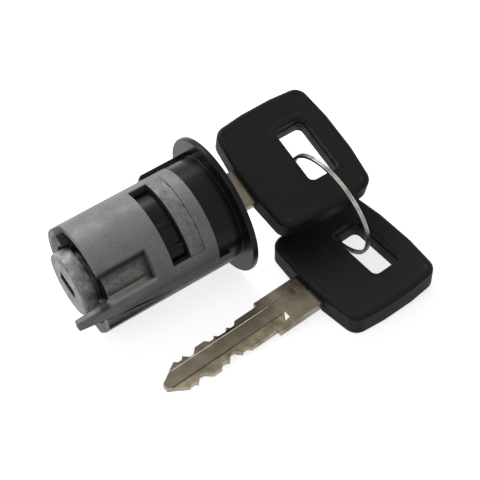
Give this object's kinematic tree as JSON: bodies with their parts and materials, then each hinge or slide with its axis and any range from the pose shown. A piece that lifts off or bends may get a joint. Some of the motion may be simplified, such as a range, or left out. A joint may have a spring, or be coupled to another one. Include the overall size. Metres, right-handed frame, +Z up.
{
  "type": "ignition lock cylinder",
  "caption": "Ignition lock cylinder: round keeled zinc barrel, black front flange and rear driver socket, with a key in its keyway and a spare key on a split ring.",
  "frame": {"origin": "middle of the part's box seen from above, at floor level", "axes": "+Z up from the floor; +X along the lock from its driver end towards the key, 5.8 degrees below the lock's own axis; +Y to the side away from the spare key"},
  "size_m": [0.089, 0.0627, 0.038],
  "materials": {
    "zinc_sleeve": "as-cast matte zinc",
    "zinc_block": "as-cast matte zinc, rough",
    "zinc_plug": "as-cast zinc",
    "zinc_driver": "as-cast zinc, light",
    "black_collar": "semi-gloss black",
    "face_steel": "brushed",
    "inner_steel": "bright",
    "spring_steel": "bright drawn wire",
    "plated_steel": "bluish zinc plating",
    "wafer_brass": "stamped",
    "key_metal": "worn nickel plating, semi-gloss",
    "key_plastic": "matte black, fine grain",
    "ring_metal": "bright nickel"
  },
  "bodies": {
    "housing": {"sleeve_housing": "zinc_sleeve", "bezel_collar": "black_collar", "window_block": "zinc_block"},
    "plug": {"plug_core": "zinc_plug", "face_cap": "face_steel", "shutter": "inner_steel", "shutter_pin": "inner_steel", "shutter_spring": "spring_steel", "wafer_springs": "spring_steel", "retaining_ring": "inner_steel", "driver": "zinc_driver", "driver_insert": "plated_steel", "wafer_01": "wafer_brass", "wafer_02": "wafer_brass", "wafer_03": "wafer_brass", "wafer_04": "wafer_brass", "wafer_05": "wafer_brass", "wafer_06": "wafer_brass", "wafer_07": "wafer_brass", "wafer_08": "wafer_brass", "wafer_09": "wafer_brass", "wafer_10": "wafer_brass", "wafer_11": "wafer_brass", "wafer_12": "wafer_brass"},
    "first_key": {"key_1_blade": "key_metal", "key_1_head": "key_plastic"},
    "ring": {"key_ring": "ring_metal"},
    "spare_key": {"key_2_blade": "key_metal", "key_2_head": "key_plastic"}
  },
  "joints": [
    {"name": "plug_turn", "type": "hinge", "parent": "housing", "child": "plug", "pos_m": [0.00399, 0.01235, 0.01906], "axis": [-0.9949, 0, -0.101], "range_deg": [0, 105]},
    {"name": "key_1_pull", "type": "slide", "parent": "plug", "child": "first_key", "axis": [0.9949, 0, 0.101], "range_m": [0, 0.042]},
    {"name": "ring_swing", "type": "hinge", "parent": "first_key", "child": "ring", "pos_m": [0.02812, 0.01235, 0.02151], "axis": [-0.0963, -0.3007, 0.9488], "range_deg": [-6, 75]},
    {"name": "key_2_swing", "type": "hinge", "parent": "ring", "child": "spare_key", "pos_m": [0.03258, -0.01179, 0.00533], "axis": [-0.059, -0.0596, 0.9965], "range_deg": [-5, 38]}
  ]
}
